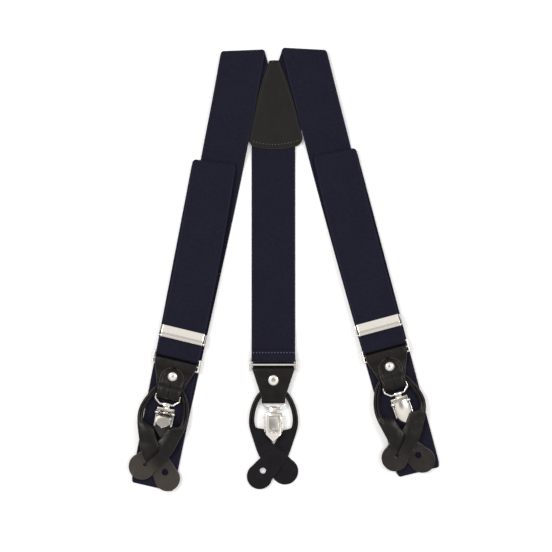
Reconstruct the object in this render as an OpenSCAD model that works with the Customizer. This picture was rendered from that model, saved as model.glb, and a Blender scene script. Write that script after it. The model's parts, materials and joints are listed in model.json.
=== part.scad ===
// Y-back suspenders with interchangeable ends, lying flat with the front straps folded.
// The back strap runs along Y, the webbing lies on the floor, and +Z is up.
// Every end is drawn in its own frame: the ring's upper bar lies along X through
// the origin, the leather hangs towards -Y, and +Z is the outside of the clip.

/* [Webbing] */
// Width of the elastic webbing
web_w = 35; // [34:0.2:35]
// Thickness of the elastic webbing
web_t = 1.3; // [1.1:0.1:1.3]

/* [Leather] */
// Thickness of the tab leather
hide_t = 1.3; // [1.1:0.1:1.3]
// Width of the tab at its lower fold
tab_low_w = 18.4; // [17:0.2:18.6]
// Diameter of the button hole in the loop's end
button_hole_d = 5; // [4:0.5:6]
// Thickness of the loop's flat ends
loop_t = 1.4; // [1.2:0.1:1.4]

/* [Metal] */
// Diameter of the ring's wire
ring_wire_d = 1.8; // [1.6:0.1:1.8]
// Diameter of the bail's wire
bail_wire_d = 1.7; // [1.4:0.1:1.7]
// Diameter of the rivet's dome
rivet_d = 7.8; // [6:0.2:7.8]
// Thickness of the clip's sheet metal
sheet_t = 0.8; // [0.6:0.1:0.8]

/* [Pose] */
// How far the left clip's lever stands open at rest, in degrees
left_lever_open = 55; // [0:5:90]

/* [Hidden] */
$fn = 40;

// Colours
navy = [0.11, 0.11, 0.18];
black = [0.13, 0.12, 0.11];
nickel = [0.82, 0.81, 0.78];

// ---------- where things lie ----------
LAY = [-1.05, -1.28, 0];         // moves the whole lay-out over the origin
// Ends: [x, y, z, turn about Z, turned over, clip turn, loop turn,
//        lever opening, loop shift, height of the slit lobe, height of the other lobe]
LEFT = [-84.5, -67.6, 6.15, -13.5, 0, 3.5, 3, left_lever_open, -2.4, -0.5, -2.1];
RIGHT = [80.4, -59.6, 6.15, 15, 0, 4, -4, 0, 0, -0.5, -2.1];
BACK = [-8, -70.1, 4.6, 0, 1, 0, 0, 0, 1.5, 3.6, 2];

// Folds of the front straps, and the slant of each fold line from X
left_top = [-32.4, 175.2];
left_bottom = [-104.8, -171.4];
left_upper = [-55.4, 86.4];
left_slants = [2.3, -13, -7.2];
right_top = [16.8, 176.4];
right_bottom = [108.4, -159.6];
right_upper = [41.3, 94.3];
right_slants = [-3, 14, 11.3];
// Headings: out of the patch, below the top fold, at the bottom, going up, coming down,
// and where along the long layer it steps down from the patch
left_way = [14.7, -9.6, -11.4, 169.2, -8.4, 0.22];
right_way = [-18.3, 13.4, 15.6, 194.8, 11, 0.205];

// Heights of the layers' centres
layer_step = web_t + 0.2;
floor_z = web_t / 2;
second_z = floor_z + layer_step;
third_z = second_z + layer_step;
slide_z = 7.55;               // front layer where the adjuster rides
tail_z = 3.65;                // tail behind it
patch_t = 1;
patch_turn = 1;               // the patch is sewn on a little askew
patch_turn_y = 168;
web_end_y = 103.6;            // the front straps end here, inside the patch
patch_web_z = patch_t + 0.1 + web_t / 2;
over_patch_z = 2 * patch_t + 2 * web_t + 0.35 - web_t / 2;

// ---------- local dimensions of an end ----------
ring_r = ring_wire_d / 2;
ring_half = web_w / 2 + 0.2 + ring_r;
bar_gap = 8.8;                // between the ring's outer bars
wrap_gap = 0.1;
wrap_r = ring_r + wrap_gap + hide_t / 2;
web_wrap_r = ring_r + wrap_gap + web_t / 2;
rivet_y = -16.8;
rivet_hole_r = 1.45;
cord_r = 1.6;
cord_y = -27.4;
cord_z = 0.75;
cord_t = 2 * cord_r - 0.2;    // thickness of the cord where it is oval
fold_y = -32.8;               // centre of the tab's lower fold
fold_r = 2.2;
bail_r = bail_wire_d / 2;
bail_y = -32.4;
bail_low_y = -39.6;
bail_half = 10.9;
pin_y = -46.8;
pin_z = 0.7;
pin_r = 0.7;
plate_z = -2.6;
tip_y = -66;
adjust_at = 17;               // adjuster's place above the ring
tail_fold_r = 1.15;           // the tail's fold round the adjuster's bar
tail_fold_y = 2.6;
hem_y = 7;                    // end of the back strap's hem
ear_x = web_w / 2 + 0.5;
adjuster_pin_y = -3.4;
adjuster_pin_z = 2.05;
adjuster_pin_r = 0.6;
jaw_open_share = 0.06;        // how far the jaw opens for each degree of the lever
// The button loop: places of its two lobes, and of its sides beside the clip
slit_lobe = [-10.5, -89.5];
thru_lobe = [11, -95.5];
lobe_r = 10.7;
side_at = [17.6, -47.5];
knee_at = [13.8, cord_y - 1.8];
knee_turn = 46;
lobe_turn = 35;
cord_end = 10.8;              // where the cord leaves its straight part, with a little overlap
cord_lap = 0.4;
cord_half = [[0, 1.1], [1, 2]];
hole_at = [-2.6, 4.6];        // button hole, from its lobe's centre

// ---------- helpers ----------
function turn(a) = [sin(a), -cos(a)];
function unit(v) = v / norm(v);
function perp(v) = [-v[1], v[0]];
function xyz(p, z) = [p[0], p[1], z];
function flat(v) = [v[0], v[1]];
function slant(a) = a - 180 * round(a / 180);
function bezier(p, a0, q, a1, t) =
    let (l = norm(q - p) / 3, b = p + turn(a0) * l, c = q - turn(a1) * l, s = 1 - t)
    p * s * s * s + b * 3 * s * s * t + c * 3 * s * t * t + q * t * t * t;
function heading(p, a0, q, a1, t) =
    unit(bezier(p, a0, q, a1, min(1, t + 0.01)) - bezier(p, a0, q, a1, max(0, t - 0.01)));
function arc(c, r, a0, a1, n) =
    [for (i = [0:n]) let (a = a0 + (a1 - a0) * i / n) c + r * [cos(a), sin(a)]];

// Outline of a strip of thickness t along a polyline
function strip(p, t) =
    let (n = len(p) - 1,
         into = [for (i = [0:n]) unit(p[max(i, 1)] - p[max(i, 1) - 1])],
         out = [for (i = [0:n]) unit(p[min(i, n - 1) + 1] - p[min(i, n - 1)])],
         side = [for (i = [0:n]) let (d = unit(into[i] + out[i])) perp(d) * t / 2 / (d * out[i])])
    concat([for (i = [0:n]) p[i] + side[i]], [for (i = [n:-1:0]) p[i] - side[i]]);

// A ring of points across a ribbon: centre, half-width vector, normal, thickness
function across(c, h, n, t) = [c + h + n * t / 2, c - h + n * t / 2,
                               c - h - n * t / 2, c + h - n * t / 2];
function middle(ring) = (ring[0] + ring[1] + ring[2] + ring[3]) / 4;

module ribbon(rings) {
    m = len(rings);
    points = [for (r = rings) each r];
    sides = [for (i = [0:m - 2]) for (k = [0:3])
        let (a = 4 * i + k, b = 4 * i + (k + 1) % 4)
        each [[a, b, a + 4], [b, b + 4, a + 4]]];
    ends = [[2, 1, 0], [3, 2, 0],
            [4 * m - 4, 4 * m - 3, 4 * m - 2], [4 * m - 4, 4 * m - 2, 4 * m - 1]];
    polyhedron(points, concat(ends, sides));
}

// One layer of webbing from p to q. a0 and a1 are its headings, f0 and f1 the slants
// of the fold lines at its ends, and face is -1 where the webbing lies face down.
function layer(p, a0, f0, q, a1, f1, heights, face, n) =
    let (far = norm(q - p), reach = 28 / far, s0 = slant(a0 - f0), s1 = slant(a1 - f1))
    [for (i = [0:n])
        let (t = i / n, c = bezier(p, a0, q, a1, t), d = heading(p, a0, q, a1, t),
             s = s0 * max(0, 1 - t / reach) + s1 * max(0, 1 - (1 - t) / reach),
             h = [d[1] * cos(s) - d[0] * sin(s), -d[0] * cos(s) - d[1] * sin(s)],
             lo = max(0, t - 0.5 / n), hi = min(1, t + 0.5 / n),
             rise = (lookup(hi, heights) - lookup(lo, heights)) / (far * (hi - lo)),
             up = (i == 0 || i == n) ? [0, 0, 1] : unit([-d[0] * rise, -d[1] * rise, 1]))
        across(xyz(c, lookup(t, heights)), xyz(h * web_w / 2 / cos(s), 0) * face,
               up * face, web_t)];

// A fold after the given ring, bulging towards heading a, up or down to height z
function fold(ring, a, z, n) =
    let (c = middle(ring), h = (ring[0] - ring[1]) / 2, face = ring[0][2] > ring[3][2] ? 1 : -1,
         m0 = perp(unit(flat(h))), m = m0 * turn(a) > 0 ? m0 : -m0,
         r = (z - c[2]) / 2, up = r > 0 ? 1 : -1)
    [for (i = [1:n - 1])
        let (g = 180 * i / n)
        across([c[0] + m[0] * abs(r) * sin(g), c[1] + m[1] * abs(r) * sin(g),
                c[2] + r - r * cos(g)], h,
               [-m[0] * sin(g) * up, -m[1] * sin(g) * up, cos(g)] * face, web_t)];

// Wire through points: straight bars joined by balls
module wire(points, r) {
    for (i = [0:len(points) - 2]) {
        d = points[i + 1] - points[i];
        translate(points[i])
            rotate([0, acos(d[2] / norm(d)), atan2(d[1], d[0])])
                cylinder(r = r, h = norm(d));
    }
    for (p = points) translate(p) sphere(r = r);
}
module bar(y, z, r, half) translate([-half, y, z]) rotate([0, 90, 0]) cylinder(r = r, h = 2 * half);
// A profile in Y and Z, drawn out to both sides along X
module sideways(points, half) {
    rotate([90, 0, 90]) translate([0, 0, -half]) linear_extrude(2 * half) polygon(points);
}
module slab(points, z0, z1) translate([0, 0, z0]) linear_extrude(z1 - z0) polygon(points);

module lay() translate(LAY) children();
module place(e) {
    lay() translate([e[0], e[1], e[2]]) rotate([0, 0, e[3]]) rotate([0, e[4] * 180, 0]) children();
}
module turned(y, a) translate([0, y, 0]) rotate([0, 0, a]) translate([0, -y, 0]) children();
module clip_place(e) place(e) turned(bail_y, e[4] ? -e[5] : e[5]) children();
module loop_place(e) place(e) turned(cord_y, e[4] ? -e[6] : e[6]) children();
module about_pin(angle) {
    translate([0, pin_y, pin_z]) rotate([-angle, 0, 0]) translate([0, -pin_y, -pin_z]) children();
}

// ---------- webbing ----------
// A front strap, from the patch over its folds to the ring of end e
function front_rings(top, bottom, upper, slants, a, e) =
    let (ring_at = [e[0], e[1]],
         start = top + turn(a[0]) * (top[1] - web_end_y) / cos(a[0]),
         stub = layer(start, a[0] + 180, 0, top, a[0] + 180, slants[0],
                      [[0, patch_web_z], [1, patch_web_z]], 1, 6),
         long = layer(top, a[1], slants[0], bottom, a[2], slants[1],
                      [[0, over_patch_z], [a[5], over_patch_z], [a[5] + 0.04, floor_z], [1, floor_z]], -1, 48),
         back = layer(bottom, a[3], slants[1], upper, a[3], slants[2],
                      [[0, second_z], [1, second_z]], 1, 10),
         front = layer(upper, a[4], slants[2], ring_at, e[3], e[3],
                       [[0, third_z], [0.58, slide_z], [0.9, slide_z], [1, e[2] + web_wrap_r]], -1, 20),
         last = front[len(front) - 1])
    concat(stub, fold(stub[6], a[0] + 180, over_patch_z, 8), long, fold(long[48], a[2], second_z, 8),
           back, fold(back[10], a[3], third_z, 8), front, fold(last, e[3], e[2] - web_wrap_r, 12),
           [across(xyz(ring_at, e[2] - web_wrap_r), (last[0] - last[1]) / 2, [0, 0, 1], web_t)]);

module front_strap(top, bottom, upper, slants, a, e, side) {
    middle_x = BACK[0] + 0.6;
    difference() {
        color(navy) lay() ribbon(front_rings(top, bottom, upper, slants, a, e));
        // the end inside the patch is cut to the other strap and to the back strap
        lay() slab([[middle_x + side * 0.2, 180], [middle_x + side * 0.2, 119.4],
                    [middle_x + side * 17.8, web_end_y - 0.1], [middle_x - side * 40, web_end_y - 0.1],
                    [middle_x - side * 40, 180]], patch_t, patch_web_z + web_t / 2 + 0.1);
    }
}
// The tail, from behind the ring to its fold round the adjuster's bar
module strap_tail(e) {
    from = -web_wrap_r;
    low = tail_z - e[2];
    hem = low + 2 * tail_fold_r;
    side_view = concat([[0.02, from], [0.6, from], [8, low], [adjust_at + tail_fold_y, low]],
                       arc([adjust_at + tail_fold_y, low + tail_fold_r], tail_fold_r, -60, 60, 4),
                       [[adjust_at + tail_fold_y, hem], [adjust_at - 8, hem]]);
    color(navy) place(e) sideways(strip(side_view, web_t), web_w / 2);
}

module back_strap() {
    crest_z = web_wrap_r;
    lift = BACK[2] - web_wrap_r - floor_z;
    side_view = concat([[189, patch_web_z], [167.6, patch_web_z], [158, floor_z], [32, floor_z],
                        [8, floor_z + lift], [0, floor_z + lift]],
                       arc([0, BACK[2]], crest_z, -105, -255, 10),
                       [[0, BACK[2] + crest_z], [hem_y - 4.5, BACK[2] + crest_z - 0.7],
                        [hem_y, BACK[2] - 0.2]]);
    color(navy) lay() translate([BACK[0], BACK[1], 0]) difference() {
        sideways(strip(side_view, web_t), web_w / 2);
        // the top end is cut to a point inside the patch
        for (s = [-1, 1])
            translate([0.6, 188.5, -1]) linear_extrude(9)
                polygon([[0, 0], [s * 40, -35.9], [s * 40, 9], [0, 9]]);
    }
}
module back_strap_stitches() {
    color("dimgray") lay() translate([BACK[0], BACK[1], 0])
        for (x = [-16:2.4:16])
            translate([x, 5.2, BACK[2] + 1.62]) rotate([-38, 0, 0]) cube([1.6, 0.5, 0.4], center = true);
}

// ---------- patch ----------
module patch_place() {
    translate([BACK[0] + 0.6, patch_turn_y]) rotate(patch_turn) translate([0, -patch_turn_y]) children();
}
module patch_outline() {
    half = concat([for (i = [0:8]) bezier([3.7, 168.8], 21, [21.6, 107.4], 10, i / 8)],
                  [for (i = [1:5]) bezier([21.6, 107.4], 10, [17.1, 100.1], -72, i / 5)],
                  [for (i = [1:5]) bezier([17.1, 100.1], -75, [0, 97.9], -90, i / 5)]);
    n = len(half) - 1;
    patch_place()
        polygon(concat(half, [for (i = [n - 1:-1:0]) [-half[i][0], half[i][1]]]));
}
module patch_lower() color(black) lay() linear_extrude(patch_t) patch_outline();
module patch_upper() {
    color(black) lay() translate([0, 0, patch_t + web_t + 0.2])
        linear_extrude(patch_t) patch_outline();
}
module patch_stitches() {
    color("dimgray") lay() patch_place() translate([0, 157, 2 * patch_t + web_t + 0.2])
        for (a = [-17:2.6:17]) rotate(a) translate([0, -55.5, 0.15]) cube([1.9, 0.5, 0.3], center = true);
}

// ---------- adjuster, drawn with the webbing's centre at its origin ----------
module adjuster_place(e) {
    place(e) translate([0, adjust_at, slide_z - e[2]]) children();
}
module adjuster_frame(e) {
    bar_z = tail_z + tail_fold_r - slide_z;
    color(nickel) adjuster_place(e) {
        difference() {
            for (s = [-1, 1])
                translate([s * (ear_x + sheet_t / 2), 0, 0])
                    sideways(concat([[-5, -1], [-3.4, bar_z - 0.6], [3.6, bar_z - 0.6], [4.6, 0],
                                     [-1.5, 1.6]],
                                    arc([adjuster_pin_y, adjuster_pin_z], 1.1, 20, 200, 6)),
                             sheet_t / 2);
            bar(adjuster_pin_y, adjuster_pin_z, adjuster_pin_r, ear_x + 2);
        }
        bar(tail_fold_y, bar_z, 0.4, ear_x + 0.2);
        translate([-ear_x - 0.2, -2.6, bar_z - 0.4]) cube([2 * ear_x + 0.4, 5.2, 0.8]);
        bar(-2.6, bar_z, 0.4, ear_x + 0.2);
    }
}
module adjuster_pin(e) {
    color(nickel) adjuster_place(e) bar(adjuster_pin_y, adjuster_pin_z, adjuster_pin_r, ear_x + sheet_t + 0.3);
}
module adjuster_lever(e) {
    plate = [[-3.4, 2.4], [-3.4, 3.25], [-1.6, 2.95], [1.6, 2.75], [4.4, 2.75], [5.3, 2.35],
             [5.3, 1.5], [4.6, 1.5], [4, 1.95], [-1.6, 2.05]];
    color(nickel) adjuster_place(e) difference() {
        union() {
            bar(adjuster_pin_y, adjuster_pin_z, 1.2, web_w / 2 - 0.3);
            sideways(plate, web_w / 2 - 0.3);
        }
        bar(adjuster_pin_y, adjuster_pin_z, adjuster_pin_r + 0.1, web_w);
    }
}

// ---------- ring ----------
// In front the leather goes round the middle bar too, behind only round the lower one
function middle_bar(e) = e[4] ? [-4.5, 1.1] : [-5, 0.8];
module ring(e) {
    mid = middle_bar(e);
    color(nickel) place(e) {
        wire([[-ring_half, 0, 0], [ring_half, 0, 0], [ring_half, -bar_gap, 0],
              [-ring_half, -bar_gap, 0], [-ring_half, 0, 0]], ring_r);
        bar(mid[0], 0, mid[1], ring_half);
    }
}

// ---------- leather tab ----------
// Seen from the side: the wide part wraps the ring's lower bar, goes down the back,
// round the lower fold and up the front as the tongue.
module tab(e) {
    back_z = -wrap_r;
    in_z = back_z + hide_t + 0.1;
    low = back_z + fold_r;
    front_z = back_z + 2 * (hide_t + 0.1);
    top = e[4] ? -bar_gap : middle_bar(e)[0];
    wide_view = concat([[rivet_y - 4.8, in_z], [-14.2, in_z], [-bar_gap - 0.9, wrap_r]],
                       arc([top, 0], wrap_r, 85, -85, 8),
                       [[-bar_gap - 0.9, back_z], [fold_y, back_z]]);
    tongue_view = concat([[fold_y, back_z]], arc([fold_y, low], fold_r, -100, -260, 8),
                         [[-31, 3.1], [-23.6, 3.1], [-20.8, front_z], [-13, front_z], [-9.9, 2.7]]);
    wide_plan = [[-17.2, top + 2.5], [17.2, top + 2.5], [16.6, -9], [9.9, -29.5], [tab_low_w / 2, -37],
                 [-tab_low_w / 2, -37], [-9.9, -29.5], [-16.6, -9]];
    color(black) place(e) difference() {
        union() {
            intersection() {
                sideways(strip(wide_view, hide_t), 20);
                slab(wide_plan, -5, 5);
            }
            intersection() {
                sideways(strip(tongue_view, hide_t), 20);
                union() {
                    slab([[-10, -19.5], [10, -19.5], [9.3, -29.5], [tab_low_w / 2, -37],
                          [-tab_low_w / 2, -37], [-9.3, -29.5]], -5, 5);
                    translate([0, -19.5, -5]) cylinder(r = 10, h = 10);
                }
            }
        }
        translate([0, rivet_y, -5]) cylinder(r = rivet_hole_r, h = 10);
    }
}
module rivet_cap(e) {
    seat = -wrap_r + 2.5 * hide_t + 0.25;
    rise = 1.4;
    ball_r = (rivet_d * rivet_d / 4 + rise * rise) / 2 / rise;
    color(nickel) place(e) translate([0, rivet_y, seat]) {
        rotate_extrude() polygon(concat([[0, 0], [rivet_d / 2, 0]],
            [for (i = [1:8]) let (x = rivet_d / 2 * cos(90 * i / 8))
                [x, sqrt(ball_r * ball_r - x * x) - ball_r + rise]]));
        translate([0, 0, -seat - wrap_r - hide_t / 2]) cylinder(r = 1.4, h = seat + wrap_r + hide_t / 2);
    }
}
module rivet_back(e) {
    color(nickel) place(e) translate([0, rivet_y, -wrap_r - hide_t / 2 - 0.7])
        rotate_extrude() polygon([[0, 0], [3.4, 0.05], [4.1, 0.45], [4.1, 0.65], [0, 0.65]]);
}

// ---------- bail and clip ----------
module bail(e) {
    color(nickel) clip_place(e)
        wire([[-bail_half, bail_y, 0], [bail_half, bail_y, 0], [bail_half, bail_low_y + 3.6, 0],
              [6.3, bail_low_y, 0], [-6.3, bail_low_y, 0], [-bail_half, bail_low_y + 3.6, 0],
              [-bail_half, bail_y, 0]], bail_r);
}
function shield(half, y0, y1, y2) = [[-half, y0], [half, y0], [half, y1], [0, y2], [-half, y1]];
module clip_plate(e) {
    curl_r = bail_r + 0.12;
    bottom = plate_z - sheet_t / 2;
    color(nickel) clip_place(e) difference() {
        union() {
            slab([[-6.8, -43], [6.8, -43], [6.8, -48.8], [6, -50], [6, -60], [0, tip_y],
                  [-6, -60], [-6, -50], [-6.8, -48.8]], bottom, bottom + sheet_t);
            // the pressed frame and the round boss on the back
            difference() {
                slab(shield(4.6, -44.5, -56, -57.5), bottom - 0.25, bottom);
                slab(shield(3.2, -46, -55, -56), bottom - 1, bottom + 1);
            }
            translate([0, -59.4, bottom - 0.25]) cylinder(r = 2.4, h = 0.4);
            // the tab curled over the bail
            bar(bail_low_y, 0, curl_r + sheet_t, 2.6);
            sideways(strip([[bail_low_y, -curl_r - sheet_t / 2], [bail_low_y - 1.8, -curl_r - 0.6],
                            [bail_low_y - 3.6, plate_z]], sheet_t), 2.6);
            // the ears that hold the pin
            for (s = [-1, 1])
                translate([s * 6.1, 0, 0])
                    sideways(concat([[-49.4, bottom], [-44, bottom], [-44, -1]],
                                    arc([pin_y, pin_z], 1.5, 30, 150, 6), [[-49.4, -1]]), 0.35);
        }
        bar(bail_low_y, 0, curl_r, 9);
        bar(pin_y, pin_z, pin_r, 9);
    }
}
module clip_pin(e) {
    color(nickel) clip_place(e) {
        bar(pin_y, pin_z, pin_r, 7.5);
        for (s = [-1, 1]) translate([s * 7.65, 0, 0]) bar(pin_y, pin_z, 1.1, 0.25);
    }
}
module clip_jaw(e) {
    rail = [[-7.25, -45.2], [7.25, -45.2], [7.25, -58.5], [0.6, -65.6], [-0.6, -65.6], [-7.25, -58.5]];
    inside = [[-6.55, -44], [6.55, -44], [6.55, -51], [5.95, -52], [5.95, -58], [0, -64.2],
              [-5.95, -58], [-5.95, -52], [-6.55, -51]];
    color(nickel) clip_place(e) about_pin(e[7] * jaw_open_share) difference() {
        union() {
            difference() {
                slab(rail, -1.9, -0.5);
                slab(inside, -3, 1);
            }
            for (s = [-1, 1]) translate([s * 6.9, 0, 0]) {
                bar(pin_y, pin_z, 1.5, 0.35);
                sideways([[pin_y - 1.3, pin_z], [pin_y - 1.3, -1.9], [pin_y + 1.3, -1.9],
                          [pin_y + 1.3, pin_z]], 0.35);
            }
        }
        bar(pin_y, pin_z, pin_r + 0.1, 9);
    }
}
module jaw_pad(e) {
    color(black) clip_place(e) about_pin(e[7] * jaw_open_share)
        slab([[-5.85, -51.8], [5.85, -51.8], [5.85, -58], [0, -64.1], [-5.85, -58]], -2.1, -0.8);
}
module clip_lever(e) {
    view = [[pin_y + 0.2, 2], [-54, 2.05], [-59, 1.2], [-64, 0.1]];
    color(nickel) clip_place(e) about_pin(e[7]) difference() {
        union() {
            bar(pin_y, pin_z, 1.5, 5.6);
            sideways([[pin_y - 1.5, pin_z], [pin_y + 1.4, pin_z], [pin_y + 0.6, 2.2],
                      [pin_y - 1.5, 2.2]], 5.6);
            intersection() {
                sideways(strip(view, sheet_t), 9);
                slab([[-5.5, -40], [5.5, -40], [5.5, -49.8], [6, -50.4], [6, -59], [3.8, -61.5],
                      [0, -63.8], [-3.8, -61.5], [-6, -59], [-6, -50.4], [-5.5, -49.8]], -1, 5);
            }
        }
        bar(pin_y, pin_z, pin_r + 0.1, 9);
    }
}

// ---------- button loop ----------
function loop_side(s, lobe, heights, n) =
    let (cord = [s * cord_end, cord_y],
         knee = [s * knee_at[0], knee_at[1]],
         out = [s * side_at[0], side_at[1]],
         wide = [[0, 4.5], [0.1, 4.8], [0.2, 8.5], [0.32, 12.2], [0.5, 14.5], [0.75, 17.5], [1, 20]],
         thick = [[0, 2 * cord_r], [0.08, 2 * cord_r], [0.2, loop_t], [1, loop_t]])
    concat([for (i = [0:3])
                let (t = i / 4, d = heading(cord, s * 90, knee, s * knee_turn, t))
                across(xyz(bezier(cord, s * 90, knee, s * knee_turn, t), cord_z),
                       xyz(-perp(d), 0) * lookup(t, cord_half), [0, 0, 1], cord_t)],
           [for (i = [0:7])
                let (d = heading(knee, s * knee_turn, out, 0, i / 8))
                across(xyz(bezier(knee, s * knee_turn, out, 0, i / 8), cord_z), xyz(-perp(d), 0) * 2.1,
                       [0, 0, 1], cord_t)],
           [for (i = [0:n])
                let (t = i / n, d = heading(out, 0, lobe, -s * lobe_turn, t))
                across(xyz(bezier(out, 0, lobe, -s * lobe_turn, t), lookup(t, heights)),
                       xyz(-perp(d), 0) * lookup(t, wide) / 2, [0, 0, 1], lookup(t, thick))]);
module button_loop(e) {
    slit_end = slit_lobe + [0, e[8]];
    thru_end = thru_lobe + [0, e[8]];
    color(black) loop_place(e) difference() {
        union() {
            bar(cord_y, cord_z, cord_r, cord_end + cord_lap);
            ribbon(loop_side(1, slit_end, [[0, cord_z], [0.18, 2.4], [0.55, 2.4], [0.85, e[9]],
                                           [1, e[9]]], 20));
            ribbon(loop_side(-1, thru_end, [[0, cord_z], [0.18, 2.4], [0.45, 3.85], [0.64, 3.4],
                                            [0.82, e[10]], [1, e[10]]], 20));
            translate([slit_end[0], slit_end[1], e[9] - loop_t / 2]) cylinder(r = lobe_r, h = loop_t);
            translate([thru_end[0], thru_end[1], e[10] - loop_t / 2]) cylinder(r = lobe_r - 0.4, h = loop_t);
        }
        translate(concat(thru_end + hole_at, [-5])) cylinder(d = button_hole_d, h = 10);
    }
}

// ---------- the three ends and the two adjusters ----------
patch_upper();
patch_lower();
patch_stitches();
front_strap(left_top, left_bottom, left_upper, left_slants, left_way, LEFT, -1);  // left_strap
strap_tail(LEFT);  // left_strap_tail
front_strap(right_top, right_bottom, right_upper, right_slants, right_way, RIGHT, 1);  // right_strap
strap_tail(RIGHT);  // right_strap_tail
back_strap();
back_strap_stitches();
adjuster_frame(LEFT);  // left_adjuster_frame
adjuster_pin(LEFT);  // left_adjuster_pin
adjuster_lever(LEFT);  // left_adjuster_lever
adjuster_frame(RIGHT);  // right_adjuster_frame
adjuster_pin(RIGHT);  // right_adjuster_pin
adjuster_lever(RIGHT);  // right_adjuster_lever
ring(LEFT);  // left_ring
tab(LEFT);  // left_tab
rivet_cap(LEFT);  // left_rivet_cap
rivet_back(LEFT);  // left_rivet_back
bail(LEFT);  // left_bail
clip_plate(LEFT);  // left_clip_plate
clip_pin(LEFT);  // left_clip_pin
clip_jaw(LEFT);  // left_clip_jaw
jaw_pad(LEFT);  // left_jaw_pad
clip_lever(LEFT);  // left_clip_lever
button_loop(LEFT);  // left_button_loop
ring(RIGHT);  // right_ring
tab(RIGHT);  // right_tab
rivet_cap(RIGHT);  // right_rivet_cap
rivet_back(RIGHT);  // right_rivet_back
bail(RIGHT);  // right_bail
clip_plate(RIGHT);  // right_clip_plate
clip_pin(RIGHT);  // right_clip_pin
clip_jaw(RIGHT);  // right_clip_jaw
jaw_pad(RIGHT);  // right_jaw_pad
clip_lever(RIGHT);  // right_clip_lever
button_loop(RIGHT);  // right_button_loop
ring(BACK);  // back_ring
tab(BACK);  // back_tab
rivet_cap(BACK);  // back_rivet_cap
rivet_back(BACK);  // back_rivet_back
bail(BACK);  // back_bail
clip_plate(BACK);  // back_clip_plate
clip_pin(BACK);  // back_clip_pin
clip_jaw(BACK);  // back_clip_jaw
jaw_pad(BACK);  // back_jaw_pad
clip_lever(BACK);  // back_clip_lever
button_loop(BACK);  // back_button_loop
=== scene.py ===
"""Y-back suspenders with button loops and clips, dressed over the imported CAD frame.

Lengths are in millimetres until a mesh is made. Each end has its own frame, as in the CAD:
the ring's upper bar lies along X through the origin, the leather hangs towards -Y, +Z is outside.
"""
import json
import math
from collections import namedtuple

import bmesh
import bpy
import numpy as np
from mathutils import Matrix, Vector, noise

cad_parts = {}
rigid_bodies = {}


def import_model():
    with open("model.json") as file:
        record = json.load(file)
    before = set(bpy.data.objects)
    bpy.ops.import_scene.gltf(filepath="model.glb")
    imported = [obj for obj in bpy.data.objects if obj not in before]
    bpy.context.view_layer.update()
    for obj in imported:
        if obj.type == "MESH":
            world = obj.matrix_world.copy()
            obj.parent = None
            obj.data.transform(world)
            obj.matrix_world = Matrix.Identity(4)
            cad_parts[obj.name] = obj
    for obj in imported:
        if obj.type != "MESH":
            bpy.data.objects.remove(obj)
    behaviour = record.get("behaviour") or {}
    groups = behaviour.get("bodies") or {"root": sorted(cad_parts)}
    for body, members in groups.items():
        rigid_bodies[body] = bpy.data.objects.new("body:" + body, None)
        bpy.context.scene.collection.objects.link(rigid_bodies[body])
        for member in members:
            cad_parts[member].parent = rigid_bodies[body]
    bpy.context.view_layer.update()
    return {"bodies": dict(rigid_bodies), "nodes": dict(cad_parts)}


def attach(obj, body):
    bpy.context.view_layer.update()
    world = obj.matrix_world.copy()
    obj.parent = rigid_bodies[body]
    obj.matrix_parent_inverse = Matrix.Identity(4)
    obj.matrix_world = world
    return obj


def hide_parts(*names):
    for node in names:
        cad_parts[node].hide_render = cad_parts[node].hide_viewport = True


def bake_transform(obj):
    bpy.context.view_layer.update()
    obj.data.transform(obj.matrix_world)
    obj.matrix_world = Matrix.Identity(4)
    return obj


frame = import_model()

MM = 0.001
NODES = frame["nodes"]

# -------------------- the CAD's lay-out
LAY = (-1.05, -1.28)
WEB_W, WEB_T = 35.0, 1.3
HIDE_T, LOOP_T = 1.3, 1.4
BAR_GAP, WRAP_R = 8.8, 1.65
RIVET_Y, CORD_Y, CORD_Z, CORD_R = -16.8, -27.4, 0.75, 1.6
FOLD_Y, FOLD_R = -32.8, 2.2
BAIL_Y, PIN_Y, PIN_Z = -32.4, -46.8, 0.7
FLOOR_Z, SECOND_Z, THIRD_Z, SLIDE_Z = 0.65, 2.15, 3.65, 7.55
PATCH_WEB_Z, OVER_PATCH_Z, WEB_END_Y = 1.75, 4.3, 103.6
MIDDLE_X = -7.4
# where an end's ring is, how the end, its clip and its loop are turned, how far its lever is open, how
# far its loop is pulled down, and the heights of the loop's slit lobe and of its other lobe
End = namedtuple("End", "x y z turn flipped clip_turn loop_turn lever loop_shift slit_z thru_z")
ENDS = {
    "left": End(-84.5, -67.6, 6.15, -13.5, 0, 3.5, 3, 55, -2.4, -0.5, -2.1),
    "right": End(80.4, -59.6, 6.15, 15, 0, 4, -4, 0, 0, -0.5, -2.1),
    "back": End(-8, -70.1, 4.6, 0, 1, 0, 0, 0, 1.5, 3.6, 2),
}
# a front strap's folds, their slants, the headings of its stub, long, back and front layers, the share
# of the long layer's run at which it steps down off the patch, and its side of the middle
Front = namedtuple("Front", "top bottom upper slants stub long_from long_to back front step sign")
FRONT = {
    "left": Front((-32.4, 175.2), (-104.8, -171.4), (-55.4, 86.4), (2.3, -13, -7.2),
                  14.7, -9.6, -11.4, 169.2, -8.4, 0.22, -1),
    "right": Front((16.8, 176.4), (108.4, -159.6), (41.3, 94.3), (-3, 14, 11.3),
                   -18.3, 13.4, 15.6, 194.8, 11, 0.205, 1),
}
SLIT_LOBE, THRU_LOBE = (-10.5, -89.5), (11, -95.5)
KNEE_AT, CORD_END, KNEE_TURN, LOBE_TURN = (12.3, -31.0), 9.2, 30, 35
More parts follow.
